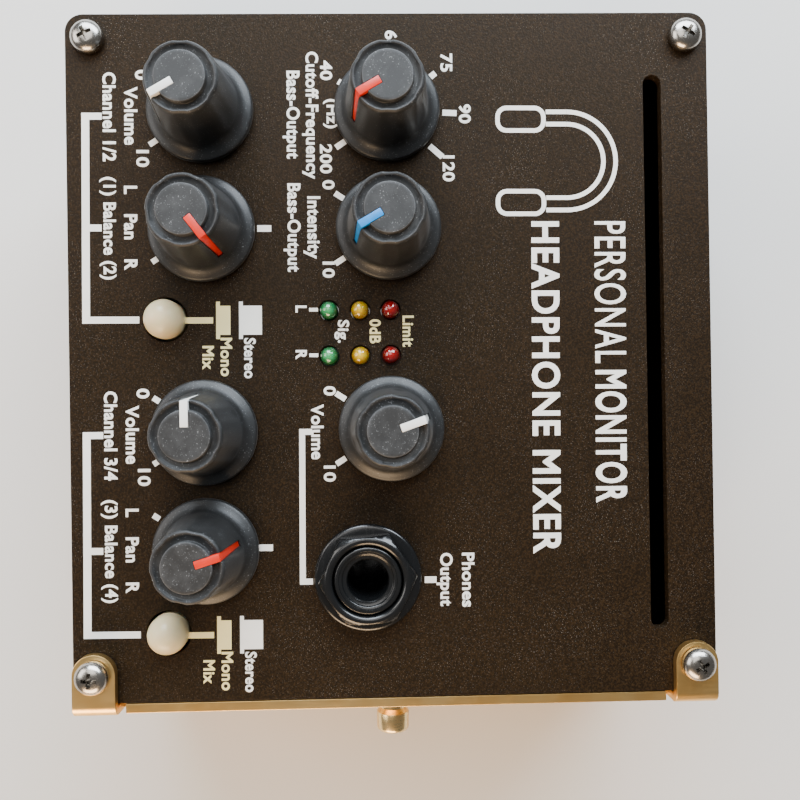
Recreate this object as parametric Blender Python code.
"""Compact in-ear monitor mixer and headphone amplifier in a folded steel box, lying on its back.

Frame: metres, +Z out of the control panel, +Y towards the panel's ventilation slot, +X towards the
side bracket. The origin is the middle of the flat back face that the box lies on.
"""
import math

import bmesh
import bpy
from mathutils import Matrix

# ---- driving dimensions -------------------------------------------------------------------
PANEL_WIDTH = 0.116
PANEL_HEIGHT = 0.109
PANEL_THICK = 0.002
PANEL_CORNER = 0.003
FACE_Z = 0.050                       # outer face of the control panel above the back face
GAP = 0.0003                         # between pieces that touch on the real object
SHEET = 0.0015                       # folded steel of the case
EDGE = 0.0001                        # the case stays this much inside the panel's outline

LEFT_SCREW_X = -0.0538
RIGHT_SCREW_X = 0.0528
SCREW_Y = 0.0505
SCREW_HOLE = 0.0017                  # radius
SCREW_SHANK = 0.00145
SCREW_HEAD = 0.0028

LOWER_ROW_Y = -0.0318
UPPER_ROW_Y = -0.0005
# name: (x, y, turn of the pointer clockwise from +Y in degrees, pointer colour)
KNOBS = {
    "volume_1_2": (-0.0414, LOWER_ROW_Y, 150.0, "white"),
    "pan_1_2": (-0.0214, LOWER_ROW_Y, 53.0, "red"),
    "volume_3_4": (0.0127, LOWER_ROW_Y, -90.0, "white"),
    "pan_3_4": (0.0325, LOWER_ROW_Y, -17.0, "red"),
    "cutoff": (-0.0414, UPPER_ROW_Y, 150.0, "red"),
    "intensity": (-0.0214, UPPER_ROW_Y, 150.0, "blue"),
    "phones_volume": (0.0125, UPPER_ROW_Y, -19.0, "white"),
}
SHAFT_RADIUS = 0.00295
SHAFT_BORE = 0.00315
SHAFT_DEPTH = 0.0086                 # shaft's lower end below the panel's face
BORE_TOP = 0.0130                    # end of the knob's bore above the panel's face
BUSH_RADIUS = 0.0035
BUSH_TOP = 0.0020
BUSH_HOLE = 0.0037
KNOB_LIFT = 0.0006                   # knob skirt above the panel
KNOB_HEIGHT = 0.0155                 # knob top above the panel
POINTER_WIDTH = 0.00125
POINTER_GAP = 0.00015

BUTTONS = {"mix_1_2": (-0.0064, -0.0383), "mix_3_4": (0.0463, -0.0384)}
BUTTON_RADIUS = 0.00345
BUTTON_HOLE = 0.00375
BUTTON_TRAVEL = 0.0025

LED_COLUMNS = {"left": -0.0076, "right": 0.0001}
LED_ROWS = {"signal": -0.0108, "zero_db": -0.00555, "limit": -0.0004}
LED_COLOURS = {"signal": "green", "zero_db": "yellow", "limit": "red"}
LED_RADIUS = 0.0015
LED_HOLE = 0.0017

PHONES_X, PHONES_Y = 0.0375, -0.0048
PHONES_BUSH = 0.0056
BORE_RADIUS = 0.0034                 # clear bore of every 6.35 mm jack socket
SLOT_HALF_LENGTH = 0.0472
SLOT_RADIUS = 0.0015
SLOT_Y = 0.0449

BOARD_TOP = 0.0375                   # control board
BOARD_THICK = 0.0016
SOCKET_BOARD_TOP = 0.0056
INPUTS = {"input_1": -0.036, "input_2": -0.012, "input_3": 0.012, "input_4": 0.036}
SOCKET_Z = 0.0130
SHAKER_Y, POWER_Y = -0.008, 0.012

BRACKET_THICK = 0.0016
BRACKET_INSIDE_X = 0.0582
BRACKET_BOTTOM = 0.003
EAR_RADIUS = 0.0036
BRACKET_SCREW_Y, BRACKET_SCREW_Z = 0.036, 0.010
STUD_Y, STUD_Z = -0.0007, 0.026
STUD_RADIUS = 0.00315
STUD_END_X = 0.0728

CASE_X = PANEL_WIDTH / 2 - EDGE
CASE_Y = PANEL_HEIGHT / 2 - EDGE
PANEL_BACK = FACE_Z - PANEL_THICK
CASE_TOP = PANEL_BACK - GAP
INSIDE_X, INSIDE_Y = CASE_X - SHEET, CASE_Y - SHEET
PLATE_OUT = BRACKET_INSIDE_X + BRACKET_THICK

COLOURS = {
    "panel_black": ((0.022, 0.019, 0.018), 0.55, 0.0),
    "case_black": ((0.020, 0.018, 0.017), 0.60, 0.0),
    "zinc_steel": ((0.60, 0.58, 0.55), 0.30, 1.0),
    "screw_steel": ((0.50, 0.50, 0.50), 0.28, 1.0),
    "knob_black": ((0.020, 0.021, 0.023), 0.55, 0.0),
    "white": ((0.85, 0.84, 0.78), 0.45, 0.0),
    "red": ((0.72, 0.06, 0.02), 0.45, 0.0),
    "blue": ((0.05, 0.33, 0.62), 0.45, 0.0),
    "ivory": ((0.74, 0.70, 0.62), 0.35, 0.0),
    "led_green": ((0.05, 0.38, 0.10), 0.15, 0.0),
    "led_yellow": ((0.75, 0.52, 0.05), 0.15, 0.0),
    "led_red": ((0.50, 0.02, 0.02), 0.15, 0.0),
    "gloss_black": ((0.008, 0.008, 0.009), 0.18, 0.0),
    "board_green": ((0.02, 0.16, 0.07), 0.45, 0.0),
    "pot_grey": ((0.42, 0.42, 0.40), 0.40, 1.0),
    "aluminium": ((0.70, 0.70, 0.71), 0.35, 1.0),
}


# ---- helpers ------------------------------------------------------------------------------
def material(name):
    """One Principled material for each finish."""
    if name in bpy.data.materials:
        return bpy.data.materials[name]
    colour, roughness, metallic = COLOURS[name]
    made = bpy.data.materials.new(name)
    made.use_nodes = True
    shader = made.node_tree.nodes["Principled BSDF"]
    shader.inputs["Base Color"].default_value = (*colour, 1.0)
    shader.inputs["Roughness"].default_value = roughness
    shader.inputs["Metallic"].default_value = metallic
    return made


def place(name, mesh, finish, parent=None, matrix=None):
    """Puts a mesh in the scene as one named piece with its own material."""
    piece = bpy.data.objects.new(name, mesh)
    bpy.context.scene.collection.objects.link(piece)
    if finish and not mesh.materials:
        mesh.materials.append(material(finish))
    piece.parent = parent
    if matrix is not None:
        piece.matrix_local = matrix
    return piece


def cutter(name, mesh, matrix=None):
    """A hidden solid that a Boolean modifier reads."""
    tool = place(name, mesh, None, matrix=matrix)
    tool.hide_render = True
    tool.display_type = 'WIRE'
    return tool


def boolean(piece, tool, operation='DIFFERENCE'):
    change = piece.modifiers.new(tool.name, 'BOOLEAN')
    change.operation = operation
    change.object = tool


def to_mesh(name, shape, smooth=False):
    bmesh.ops.recalc_face_normals(shape, faces=shape.faces)
    mesh = bpy.data.meshes.new(name)
    shape.to_mesh(mesh)
    shape.free()
    if smooth:
        mesh.shade_smooth()
        mesh.set_sharp_from_angle(angle=math.radians(35))
    return mesh


def applied(piece):
    """The piece's mesh with its modifiers applied, for copies to share."""
    depsgraph = bpy.context.evaluated_depsgraph_get()
    return bpy.data.meshes.new_from_object(piece.evaluated_get(depsgraph))


def add_prism(shape, outline, low, high):
    """Extrudes a closed (x, y) outline from z = low to z = high."""
    bottom = [shape.verts.new((x, y, low)) for x, y in outline]
    top = [shape.verts.new((x, y, high)) for x, y in outline]
    shape.faces.new(bottom)
    shape.faces.new(top)
    for i in range(len(outline)):
        j = (i + 1) % len(outline)
        shape.faces.new((bottom[i], bottom[j], top[j], top[i]))


def prism(name, outline, low, high):
    shape = bmesh.new()
    add_prism(shape, outline, low, high)
    return to_mesh(name, shape)


def boxes(name, corners):
    """Boxes, each given by its lowest and highest corner."""
    shape = bmesh.new()
    for (x0, y0, z0), (x1, y1, z1) in corners:
        add_prism(shape, [(x0, y0), (x1, y0), (x1, y1), (x0, y1)], z0, z1)
    return to_mesh(name, shape)


def turned(name, profile, segments, matrix=None):
    """Spins a closed (radius, height) profile about Z."""
    shape = bmesh.new()
    ring = [shape.verts.new((radius, 0, height)) for radius, height in profile]
    edges = [shape.edges.new((a, b)) for a, b in zip(ring, ring[1:] + ring[:1])
             if a.co.x > 0 or b.co.x > 0]
    bmesh.ops.spin(shape, geom=ring + edges, cent=(0, 0, 0), axis=(0, 0, 1),
                   angle=math.tau, steps=segments, use_merge=True)
    bmesh.ops.remove_doubles(shape, verts=shape.verts, dist=1e-6)
    bmesh.ops.transform(shape, matrix=matrix or Matrix(), verts=shape.verts)
    return to_mesh(name, shape, smooth=True)


def circle(radius, segments, x=0.0, y=0.0, start=0.0):
    return [(x + radius * math.cos(start + i * math.tau / segments),
             y + radius * math.sin(start + i * math.tau / segments)) for i in range(segments)]


def rounded_box(half_x, half_y, radius, steps=4):
    """Outline of a rectangle with round corners, centred on the origin."""
    points = []
    for quarter, (sx, sy) in enumerate(((1, 1), (-1, 1), (-1, -1), (1, -1))):
        for i in range(steps + 1):
            turn = math.pi / 2 * (quarter + i / steps)
            points.append((sx * (half_x - radius) + radius * math.cos(turn),
                           sy * (half_y - radius) + radius * math.sin(turn)))
    return points


def slot_outline(half_length, radius, y, steps=6):
    """Outline of a long slot with half-round ends, its middle at (0, y)."""
    points = []
    for side in (1, -1):
        for i in range(steps + 1):
            turn = -side * math.pi / 2 + math.pi * i / steps
            middle = side * (half_length - radius)
            points.append((middle + radius * math.cos(turn), y + radius * math.sin(turn)))
    return points


def along_x(x, y, z):
    """Takes a piece modelled along +Z to +X, with its base at x, y, z."""
    return Matrix.Translation((x, y, z)) @ Matrix.Rotation(math.pi / 2, 4, 'Y')


def along_minus_x(x, y, z):
    return Matrix.Translation((x, y, z)) @ Matrix.Rotation(-math.pi / 2, 4, 'Y')


def along_minus_y(x, y, z):
    return Matrix.Translation((x, y, z)) @ Matrix.Rotation(math.pi / 2, 4, 'X')


# ---- case, panel and bracket -----------------------------------------------------------------
def front_panel():
    """Steel front plate with every hole punched."""
    shape = bmesh.new()
    low, high = PANEL_BACK - 0.001, FACE_Z + 0.001
    for x, y, _turn, _colour in KNOBS.values():
        add_prism(shape, circle(BUSH_HOLE, 16, x, y), low, high)
    for x, y in BUTTONS.values():
        add_prism(shape, circle(BUTTON_HOLE, 20, x, y), low, high)
    for x in LED_COLUMNS.values():
        for y in LED_ROWS.values():
            add_prism(shape, circle(LED_HOLE, 12, x, y), low, high)
    for x in (LEFT_SCREW_X, RIGHT_SCREW_X):
        for y in (-SCREW_Y, SCREW_Y):
            add_prism(shape, circle(SCREW_HOLE, 12, x, y), low, high)
    add_prism(shape, circle(PHONES_BUSH + 0.0004, 24, PHONES_X, PHONES_Y), low, high)
    add_prism(shape, slot_outline(SLOT_HALF_LENGTH, SLOT_RADIUS, SLOT_Y), low, high)
    holes = cutter("panel_holes", to_mesh("panel_holes", shape))
    outline = rounded_box(PANEL_WIDTH / 2, PANEL_HEIGHT / 2, PANEL_CORNER)
    panel = place("front_panel", prism("front_panel", outline, PANEL_BACK, FACE_Z), "panel_black")
    boolean(panel, holes)


def case_tray():
    """Folded tray: floor and four walls, a lip round the rim and a tab in each corner."""
    tray = place("case_tray", boxes("case_tray", [((-CASE_X, -CASE_Y, 0), (CASE_X, CASE_Y, CASE_TOP))]),
                 "case_black")
    under_lip = CASE_TOP - SHEET
    cavity = boxes("case_cavity", [((-INSIDE_X, -INSIDE_Y, SHEET), (INSIDE_X, INSIDE_Y, under_lip))])
    boolean(tray, cutter("case_cavity", cavity))
    lip, tab = 0.0015, 0.0085
    x, y = INSIDE_X - lip, INSIDE_Y - lip
    mouth = [(x, y - tab), (x - tab, y), (tab - x, y), (-x, y - tab),
             (-x, tab - y), (tab - x, -y), (x - tab, -y), (x, tab - y)]
    boolean(tray, cutter("case_mouth", prism("case_mouth", mouth, under_lip - 0.001, FACE_Z)))
    shape = bmesh.new()
    for sx in (LEFT_SCREW_X, RIGHT_SCREW_X):
        for sy in (-SCREW_Y, SCREW_Y):
            add_prism(shape, circle(SCREW_HOLE, 12, sx, sy), under_lip - 0.001, FACE_Z)
    boolean(tray, cutter("tab_holes", to_mesh("tab_holes", shape)))
    boolean(tray, cutter("wall_holes", wall_holes()))


def wall_holes():
    """Round holes through the side walls for sockets, bracket screws and the stud."""
    shape = bmesh.new()
    outside = 0.003
    rows = [(along_minus_y(x, outside - CASE_Y, SOCKET_Z), 0.0058) for x in INPUTS.values()]
    rows.append((along_minus_x(outside - CASE_X, SHAKER_Y, SOCKET_Z), 0.0058))
    rows.append((along_minus_x(outside - CASE_X, POWER_Y, SOCKET_Z), 0.0050))
    for y in (-BRACKET_SCREW_Y, BRACKET_SCREW_Y):
        rows.append((along_x(CASE_X - outside, y, BRACKET_SCREW_Z), SCREW_HOLE))
    rows.append((along_x(CASE_X - outside, STUD_Y, STUD_Z), 0.0028))
    for matrix, radius in rows:
        bmesh.ops.create_cone(shape, cap_ends=True, segments=16, radius1=radius, radius2=radius,
                              depth=2 * outside, matrix=matrix @ Matrix.Translation((0, 0, outside)))
    return to_mesh("wall_holes", shape)


def side_bracket():
    """Plate along the right side whose two round-ended ears fold over the panel."""
    ear_y, ear_end = SCREW_Y, RIGHT_SCREW_X
    top = FACE_Z + GAP
    plate_top = FACE_Z - 0.0003
    notch, inset = 0.0010, 0.00005
    # Side view of the plate: ears at both ends, a lower edge between them, relief notches.
    half, inner = ear_y + EAR_RADIUS, ear_y - EAR_RADIUS
    rim, relief = top + BRACKET_THICK, plate_top - 0.003
    outline = [(-half, BRACKET_BOTTOM), (half, BRACKET_BOTTOM), (half, rim), (inner, rim),
               (inner, relief), (inner - notch, relief), (inner - notch, plate_top),
               (notch - inner, plate_top), (notch - inner, relief), (-inner, relief),
               (-inner, rim), (-half, rim)]
    plate = prism("side_bracket", outline, 0, BRACKET_THICK)
    # (x, y) of the outline become the plate's Y and Z.
    plate.transform(Matrix.Translation((BRACKET_INSIDE_X, 0, 0)) @ Matrix(
        ((0, 0, 1, 0), (1, 0, 0, 0), (0, 1, 0, 0), (0, 0, 0, 1))))
    bracket = place("side_bracket", plate, "zinc_steel")
    shape = bmesh.new()
    ear, root, step = EAR_RADIUS - inset, BRACKET_INSIDE_X + BRACKET_THICK / 2, math.pi / 8
    for middle in (-ear_y, ear_y):
        tip = [(ear_end - ear * math.sin(i * step), middle + ear * math.cos(i * step)) for i in range(9)]
        add_prism(shape, [(root, middle + ear)] + tip + [(root, middle - ear)], top, rim - inset)
    boolean(bracket, cutter("bracket_ears", to_mesh("bracket_ears", shape)), 'UNION')
    shape = bmesh.new()
    for side in (-1, 1):
        add_prism(shape, circle(SCREW_HOLE, 12, ear_end, side * ear_y), top - 0.001, rim + 0.001)
    for y, z, radius in ((-BRACKET_SCREW_Y, BRACKET_SCREW_Z, SCREW_HOLE),
                         (BRACKET_SCREW_Y, BRACKET_SCREW_Z, SCREW_HOLE), (STUD_Y, STUD_Z, 0.0027)):
        bmesh.ops.create_cone(shape, cap_ends=True, segments=12, radius1=radius, radius2=radius,
                              depth=0.006, matrix=along_x(BRACKET_INSIDE_X, y, z))
    boolean(bracket, cutter("bracket_holes", to_mesh("bracket_holes", shape)))


def screw_mesh():
    """M3 pan-head screw with a cross recess, head's underside at z = 0."""
    length, head_height = 0.0060, 0.0021
    profile = [(0, -length), (SCREW_SHANK * 0.7, -length), (SCREW_SHANK, -length + 0.0005),
               (SCREW_SHANK, 0), (SCREW_HEAD, 0), (SCREW_HEAD, 0.0007), (SCREW_HEAD * 0.86, 0.0015),
               (SCREW_HEAD * 0.5, head_height), (0, head_height)]
    screw = place("screw_blank", turned("screw_blank", profile, 14), "screw_steel")
    arm, half, depth = 0.0016, 0.00032, 0.0012
    cross = [(half, half), (arm, half), (arm, -half), (half, -half), (half, -arm), (-half, -arm),
             (-half, -half), (-arm, -half), (-arm, half), (-half, half), (-half, arm), (half, arm)]
    tool = cutter("cross_recess", prism("cross_recess", cross, head_height - depth, 0.003))
    boolean(screw, tool)
    mesh = applied(screw)
    bpy.data.objects.remove(screw)
    bpy.data.objects.remove(tool)
    return mesh


def screws():
    mesh = screw_mesh()
    ear_top = FACE_Z + BRACKET_THICK + 2 * GAP
    seats = {"panel_screw_1": (LEFT_SCREW_X, -SCREW_Y, FACE_Z + GAP),
             "panel_screw_2": (LEFT_SCREW_X, SCREW_Y, FACE_Z + GAP),
             "panel_screw_3": (RIGHT_SCREW_X, -SCREW_Y, ear_top),
             "panel_screw_4": (RIGHT_SCREW_X, SCREW_Y, ear_top)}
    for turn, (name, seat) in enumerate(seats.items()):
        spin = Matrix.Rotation(math.radians(25 + 31 * turn), 4, 'Z')
        place(name, mesh, None, matrix=Matrix.Translation(seat) @ spin)
    for number, y in ((1, -BRACKET_SCREW_Y), (2, BRACKET_SCREW_Y)):
        place(f"bracket_screw_{number}", mesh, None,
              matrix=along_x(PLATE_OUT + GAP, y, BRACKET_SCREW_Z))


def mount_stud():
    """Quick-release stud: thread, hex shoulder on the plate, neck and round head."""
    start = INSIDE_X - 0.006
    length = STUD_END_X - start
    shoulder = PLATE_OUT + GAP - start
    thread, neck = 0.0025, 0.00245
    profile = [(0, 0), (thread - 0.0005, 0), (thread, 0.0005), (thread, shoulder),
               (0.0045, shoulder), (0.0045, shoulder + 0.0030), (neck, shoulder + 0.0036),
               (neck, length - 0.0044), (STUD_RADIUS, length - 0.0036),
               (STUD_RADIUS, length - 0.0008), (STUD_RADIUS - 0.0008, length), (0, length)]
    mesh = turned("mount_stud", profile, 18, along_x(start, STUD_Y, STUD_Z))
    place("mount_stud", mesh, "screw_steel")
    thick = 0.004
    seat = along_x(INSIDE_X - GAP - thick, STUD_Y, STUD_Z)
    nut = place("stud_nut", prism("stud_nut", circle(0.0046, 6), 0, thick), "screw_steel", matrix=seat)
    bore = prism("stud_nut_bore", circle(thread + 0.0002, 18), -0.001, thick + 0.001)
    boolean(nut, cutter("stud_nut_bore", bore, matrix=seat))


# ---- rotary controls ------------------------------------------------------------------------
def pointer_outline(outer, inner):
    """Side view (radius, height) of the pointer bar: along the knob's top and down its flank."""
    top, foot = KNOB_HEIGHT, 0.0045
    return [(0.0013 - inner, top - 0.0009 - inner), (0.0013 - inner, top + outer),
            (0.0056 + outer, top + outer), (0.0067 + outer, foot - inner),
            (0.0058 - inner, foot - inner), (0.0048 - inner, top - 0.0009 - inner)]


def pointer_bar(name, outer, inner, width):
    mesh = prism(name, pointer_outline(outer, inner), -width / 2, width / 2)
    # The outline's radius runs along +Y and its height along +Z.
    mesh.transform(Matrix(((0, 0, 1, 0), (1, 0, 0, 0), (0, 1, 0, 0), (0, 0, 0, 1))))
    return mesh


def knob_mesh():
    """Skirted soft-touch knob, hollow below, with a groove for its pointer."""
    recess, recess_top, skirt = 0.0052, 0.0036, 0.00885
    profile = [(recess, KNOB_LIFT), (skirt, KNOB_LIFT), (skirt, 0.0018), (0.0073, 0.0030),
               (0.0067, 0.0045), (0.0057, 0.0146), (0.0053, 0.0150), (0.0037, 0.0152),
               (0.0036, KNOB_HEIGHT), (0, KNOB_HEIGHT), (0, BORE_TOP), (SHAFT_BORE, BORE_TOP),
               (SHAFT_BORE, recess_top), (recess, recess_top)]
    knob = place("knob_blank", turned("knob_blank", profile, 20), "knob_black")
    groove = pointer_bar("pointer_groove", 0.002, POINTER_GAP, POINTER_WIDTH + 2 * POINTER_GAP)
    tool = cutter("pointer_groove", groove)
    boolean(knob, tool)
    mesh = applied(knob)
    bpy.data.objects.remove(knob)
    bpy.data.objects.remove(tool)
    return mesh


def pot_mesh():
    """Board-mounted potentiometer: square can and round bush, bored for the shaft."""
    half_x, half_y, can_top = 0.0049, 0.0058, -PANEL_THICK - GAP
    can_bottom = BOARD_TOP + GAP - FACE_Z
    can = boxes("pot_blank", [((-half_x, -half_y, can_bottom), (half_x, half_y, can_top))])
    pot = place("pot_blank", can, "pot_grey")
    tube = prism("pot_bush", circle(BUSH_RADIUS, 14), can_top - 0.002, BUSH_TOP)
    bush = cutter("pot_bush", tube)
    well = prism("pot_bore", circle(SHAFT_BORE, 14), -SHAFT_DEPTH - GAP, BUSH_TOP + 0.001)
    bore = cutter("pot_bore", well)
    boolean(pot, bush, 'UNION')
    boolean(pot, bore)
    mesh = applied(pot)
    for spare in (pot, bush, bore):
        bpy.data.objects.remove(spare)
    return mesh


def rotary_controls():
    knob, pot = knob_mesh(), pot_mesh()
    low, high = -SHAFT_DEPTH, BORE_TOP - 0.0004
    shaft = turned("shaft", [(0, low), (SHAFT_RADIUS, low), (SHAFT_RADIUS, high), (0, high)], 12)
    for name, (x, y, turn, colour) in KNOBS.items():
        axis = bpy.data.objects.new(f"{name}_axis", None)
        bpy.context.scene.collection.objects.link(axis)
        axis.location = (x, y, FACE_Z)
        axis.rotation_euler = (0, 0, -math.radians(turn))
        place(f"{name}_knob", knob, "knob_black", axis)
        bar = pointer_bar(f"{name}_pointer", 0.0, 0.0, POINTER_WIDTH)
        place(f"{name}_pointer", bar, colour, axis)
        place(f"{name}_shaft", shaft, "aluminium", axis)
        place(f"{name}_pot", pot, "pot_grey", matrix=Matrix.Translation((x, y, FACE_Z)))


# ---- buttons, lamps and boards -----------------------------------------------------------------
def push_buttons():
    """Round domed caps on latching switches."""
    r, skirt_end, stem, stem_end = BUTTON_RADIUS, -0.0036, 0.0015, -0.0085
    rim, crown = 0.0026, 0.0022
    dome = [(r * math.cos(i * math.pi / 8), rim + crown * math.sin(i * math.pi / 8)) for i in range(4)]
    profile = [(0, stem_end), (stem, stem_end), (stem, skirt_end), (r, skirt_end)]
    cap = turned("button_cap", profile + dome + [(0, rim + crown)], 20)
    body_low, body_high, half = BOARD_TOP + GAP, FACE_Z - 0.0070, 0.0040
    well_low = FACE_Z + stem_end - BUTTON_TRAVEL - 0.0005
    for name, (x, y) in BUTTONS.items():
        place(f"{name}_button", cap, "ivory", matrix=Matrix.Translation((x, y, FACE_Z)))
        body = boxes(f"{name}_switch", [((x - half, y - half, body_low), (x + half, y + half, body_high))])
        switch = place(f"{name}_switch", body, "gloss_black")
        well = prism(f"{name}_well", circle(stem + 0.0004, 12, x, y), well_low, body_high + 0.001)
        boolean(switch, cutter(f"{name}_well", well))


def lamps():
    """3 mm lamps whose two legs stand on the control board."""
    r, flange = LED_RADIUS, -PANEL_THICK - GAP
    dome = [(r * math.cos(a), 0.0002 + r * math.sin(a)) for a in (0, math.pi / 6, math.pi / 3)]
    profile = [(0, flange - 0.001), (0.0019, flange - 0.001), (0.0019, flange), (r, flange)]
    body = turned("lamp", profile + dome + [(0, 0.0002 + r)], 12)
    leg, foot = 0.00025, BOARD_TOP + GAP - FACE_Z
    legs = boxes("lamp_legs", [((sx - leg, -leg, foot), (sx + leg, leg, flange - 0.0005))
                               for sx in (-0.00127, 0.00127)])
    blank, tool = place("lamp_blank", body, None), cutter("lamp_legs", legs)
    boolean(blank, tool, 'UNION')
    lamp = applied(blank)
    bpy.data.objects.remove(blank)
    bpy.data.objects.remove(tool)
    for row, y in LED_ROWS.items():
        mesh = lamp.copy()
        mesh.materials.clear()
        for column, x in LED_COLUMNS.items():
            place(f"{row}_lamp_{column}", mesh, f"led_{LED_COLOURS[row]}",
                  matrix=Matrix.Translation((x, y, FACE_Z)))


def boards():
    """Control board behind the panel, cut away for the phones jack, and the socket board."""
    notch_low, notch_high, notch_y = 0.0280, 0.0470, -0.0145
    outline = [(-0.053, -0.046), (0.053, -0.046), (0.053, 0.012), (notch_high, 0.012),
               (notch_high, notch_y), (notch_low, notch_y), (notch_low, 0.012), (-0.053, 0.012)]
    board = prism("control_board", outline, BOARD_TOP - BOARD_THICK, BOARD_TOP)
    place("control_board", board, "board_green")
    low, high = (-0.054, -0.050, SOCKET_BOARD_TOP - BOARD_THICK), (0.046, 0.024, SOCKET_BOARD_TOP)
    place("socket_board", boxes("socket_board", [(low, high)]), "board_green")


# ---- sockets and heat sink ------------------------------------------------------------------------
def phones_jack():
    """Panel jack: square body with a threaded bush, and the flanged hex nut on it."""
    half, deep = 0.0079, 0.0285
    top = FACE_Z - PANEL_THICK - GAP
    x, y = PHONES_X, PHONES_Y
    body = boxes("phones_jack", [((x - half, y - half, FACE_Z - deep), (x + half, y + half, top))])
    jack = place("phones_jack", body, "gloss_black")
    bush = prism("phones_bush", circle(PHONES_BUSH, 24, x, y), top - 0.002, FACE_Z + 0.0036)
    boolean(jack, cutter("phones_bush", bush), 'UNION')
    bore = prism("phones_bore", circle(BORE_RADIUS, 24, x, y), FACE_Z - deep + 0.0015, FACE_Z + 0.01)
    boolean(jack, cutter("phones_bore", bore))
    flange, round_top, hexagon, height = 0.0090, 0.0070, 0.0083, 0.0040
    nut_profile = [(0.0050, GAP), (flange, GAP), (flange, 0.0012), (round_top, 0.0018),
                   (round_top, height), (0.0050, height)]
    nut = turned("phones_nut", nut_profile, 24)
    nut.transform(Matrix.Translation((x, y, FACE_Z)))
    ring = place("phones_nut", nut, "gloss_black")
    hex_body = cutter("nut_hexagon", prism("nut_hexagon", circle(hexagon, 6, x, y, math.radians(4)),
                                           FACE_Z + 0.0009, FACE_Z + height - 0.0006))
    boolean(ring, hex_body, 'UNION')
    hole = prism("nut_hole", circle(PHONES_BUSH + GAP, 24, x, y), FACE_Z - 0.001, FACE_Z + 0.006)
    boolean(ring, cutter("nut_hole", hole))


def socket(name, matrix):
    """Side jack lying on the socket board, bush pointing along its local +Z from the wall."""
    half, half_height, deep, reach = 0.0078, 0.0070, 0.026, 0.0045
    wall_inside = -SHEET - GAP
    body = boxes(name, [((-half, -half_height, wall_inside - deep), (half, half_height, wall_inside))])
    jack = place(name, body, "gloss_black", matrix=matrix)
    parts = ((f"{name}_bush", 0.0055, wall_inside - 0.002, reach, 'UNION'),
             (f"{name}_bore", BORE_RADIUS, wall_inside - deep + 0.0015, reach + 0.004, 'DIFFERENCE'))
    for tool_name, radius, low, high, operation in parts:
        tool = cutter(tool_name, prism(tool_name, circle(radius, 18), low, high), matrix)
        boolean(jack, tool, operation)


def sockets():
    for name, x in INPUTS.items():
        socket(f"{name}_jack", along_minus_y(x, -CASE_Y, SOCKET_Z))
    turned_up = Matrix.Rotation(math.pi / 2, 4, 'Z')
    socket("shaker_jack", along_minus_x(-CASE_X, SHAKER_Y, SOCKET_Z) @ turned_up)
    # Power inlet: barrel with a centre pin.
    half, deep, barrel = 0.0055, 0.0125, 0.0047
    matrix = along_minus_x(-CASE_X, POWER_Y, SOCKET_Z)
    inside = -SHEET - GAP
    body = boxes("power_inlet", [((-half, -half, inside - deep), (half, half, inside))])
    inlet = place("power_inlet", body, "gloss_black", matrix=matrix)
    throat = [(0.0010, -0.0090), (0.0032, -0.0090), (0.0032, 0.004), (0.0010, 0.004)]
    boolean(inlet, cutter("inlet_nose", prism("inlet_nose", circle(barrel, 18), inside - 0.002, 0.0008),
                          matrix), 'UNION')
    boolean(inlet, cutter("inlet_throat", turned("inlet_throat", throat, 18), matrix))
    boolean(inlet, cutter("inlet_crown", prism("inlet_crown", circle(0.0020, 12), 0.0, 0.003), matrix))


def heat_sink():
    """Finned aluminium block below the ventilation slot."""
    base_low, base_high, fin_top = SHEET + GAP, 0.0048, 0.0300
    first_y, pitch, fin, count = 0.0345, 0.0035, 0.0013, 5
    outline = [(first_y, base_low), (first_y + (count - 1) * pitch + fin, base_low)]
    for i in reversed(range(count)):
        y = first_y + i * pitch
        outline += [(y + fin, fin_top), (y, fin_top)]
        if i:
            outline += [(y, base_high), (y - pitch + fin, base_high)]
    mesh = prism("heat_sink", outline, -0.035, 0.035)
    mesh.transform(Matrix(((0, 0, 1, 0), (1, 0, 0, 0), (0, 1, 0, 0), (0, 0, 0, 1))))
    place("heat_sink", mesh, "aluminium")


def main():
    for old in list(bpy.data.objects):
        bpy.data.objects.remove(old)
    front_panel()
    case_tray()
    side_bracket()
    screws()
    mount_stud()
    rotary_controls()
    push_buttons()
    lamps()
    boards()
    phones_jack()
    sockets()
    heat_sink()


main()
